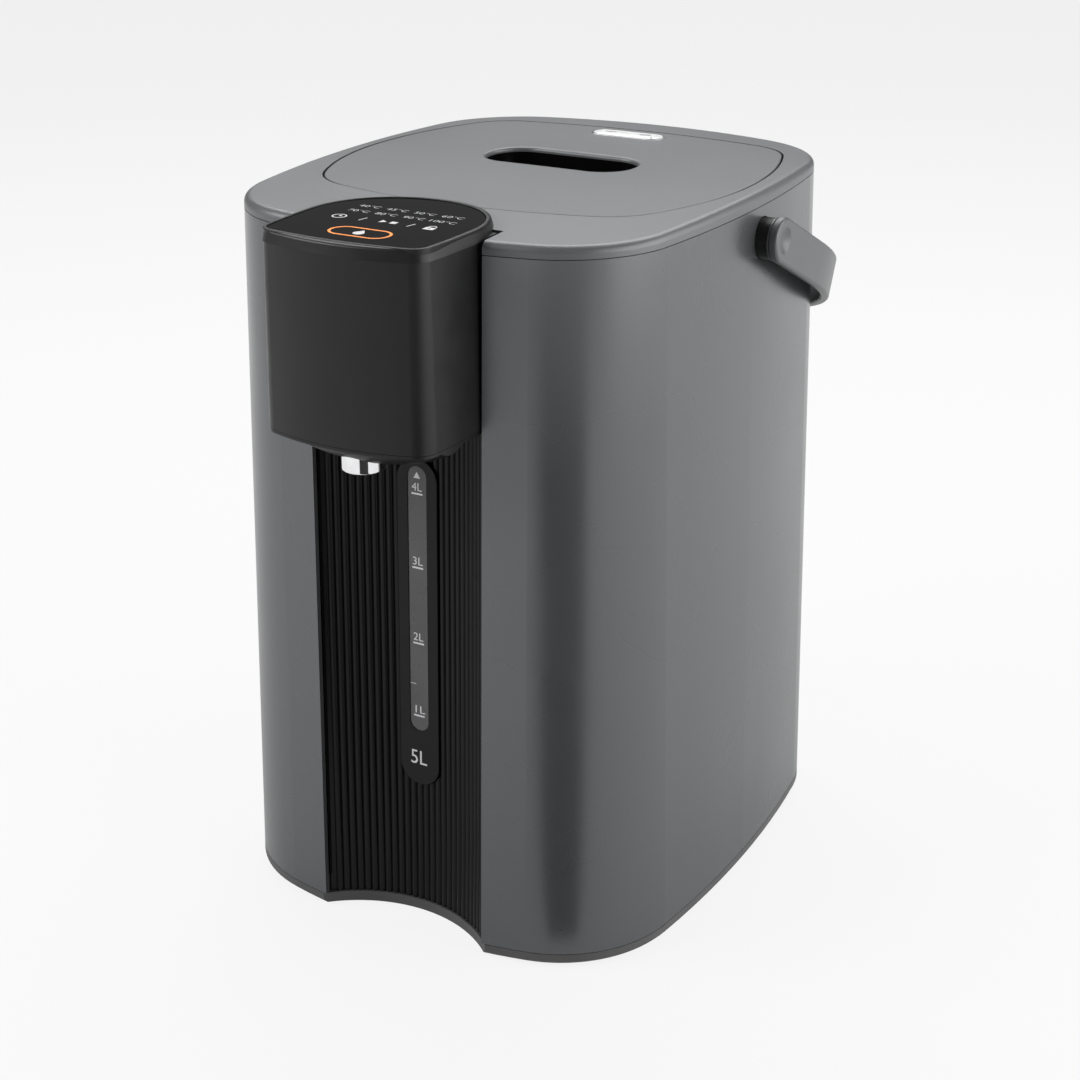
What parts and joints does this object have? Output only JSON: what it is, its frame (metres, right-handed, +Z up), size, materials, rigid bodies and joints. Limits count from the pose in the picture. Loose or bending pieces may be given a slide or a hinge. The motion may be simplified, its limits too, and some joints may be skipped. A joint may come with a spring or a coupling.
{
  "type": "electric thermo pot",
  "caption": "Free-standing electric thermo pot with a crowned hinged lid, swing-over carrying handle, spout head over a ribbed cup bay and a water level gauge.",
  "frame": {"origin": "centre of the bounding box in plan, at the underside of the feet", "axes": "+X to the right seen from the front, +Y to the back, +Z up; the spout faces -Y"},
  "size_m": [0.226, 0.3164, 0.3237],
  "materials": {
    "shell_paint": "satin graphite grey paint",
    "trim_plastic": "satin graphite grey",
    "lid_plastic": "fine satin graphite grey",
    "panel_black": "glossy black, ribbed",
    "black_plastic": "satin black",
    "glass_black": "black printed glass",
    "clear_lens": "clear",
    "chrome": "polished",
    "steel": "drawn",
    "silicone": "milky silicone",
    "rubber_dark": "matt",
    "grey_plastic": "moulded dark grey",
    "white_plastic": "moulded",
    "foam": "felt-like insulation",
    "board": "solder mask",
    "brass": "plated",
    "aluminium": "cast"
  },
  "bodies": {
    "housing": {"outer_shell": "shell_paint", "top_collar": "trim_plastic", "base_housing": "grey_plastic", "bottom_cover": "grey_plastic", "rubber_feet": "rubber_dark", "cover_screws": "steel", "front_panel": "panel_black", "gauge_plate": "panel_black", "gauge_window": "clear_lens", "sight_tube": "clear_lens", "dispenser_head": "black_plastic", "head_bottom_cover": "black_plastic", "control_glass": "glass_black", "glass_trim_ring": "black_plastic", "control_board": "board", "nozzle": "chrome", "nozzle_tube": "silicone", "head_hose": "silicone", "outlet_hose": "silicone", "inlet_hose": "silicone", "hinge_pin": "steel", "hinge_bracket": "steel", "handle_hubs": "black_plastic", "handle_pins": "steel", "inner_tank": "steel", "outlet_strainer": "steel", "tank_mouth_seal": "silicone", "insulation_jacket": "foam", "heater_plate": "aluminium", "thermostats": "aluminium", "tank_posts": "black_plastic", "pump_housing": "white_plastic", "pump_motor": "steel", "power_board": "board", "power_inlet": "black_plastic", "inlet_pins": "brass"},
    "lid": {"lid_cover": "lid_plastic", "lid_base": "white_plastic", "lid_plate": "steel", "lid_gasket": "silicone", "slot_liner": "black_plastic", "steam_vent_trim": "chrome", "paddle_pin": "steel", "paddle_spring": "steel", "lid_hinge_arms": "grey_plastic"},
    "paddle": {"release_paddle": "black_plastic"},
    "bolt": {"latch_bolt": "white_plastic"},
    "handle": {"carry_handle": "trim_plastic"},
    "impeller": {"pump_impeller": "white_plastic"}
  },
  "joints": [
    {"name": "lid_hinge", "type": "hinge", "parent": "housing", "child": "lid", "pos_m": [0, 0.1203, 0.3131], "axis": [-1, 0, 0], "range_deg": [0, 95]},
    {"name": "handle_swing", "type": "hinge", "parent": "housing", "child": "handle", "pos_m": [0, 0.0168, 0.3], "axis": [1, 0, 0], "range_deg": [0, 118]},
    {"name": "paddle_press", "type": "hinge", "parent": "lid", "child": "paddle", "pos_m": [0, 0.0383, 0.3041], "axis": [1, 0, 0], "range_deg": [0, 8], "stiffness_Nm_per_rad": 0.2, "springref_deg": -17.19, "deforming": ["paddle_spring"]},
    {"name": "bolt_slide", "type": "slide", "parent": "lid", "child": "bolt", "axis": [0, 1, 0], "range_m": [0, 0.004]},
    {"name": "impeller_spin", "type": "hinge", "parent": "housing", "child": "impeller", "pos_m": [-0.034, -0.0232, 0.0285], "axis": [0, 0, 1], "continuous": true}
  ],
  "couplings": [
    {"joint": "bolt_slide", "follows": "paddle_press", "m_per_rad": 0.0283}
  ]
}
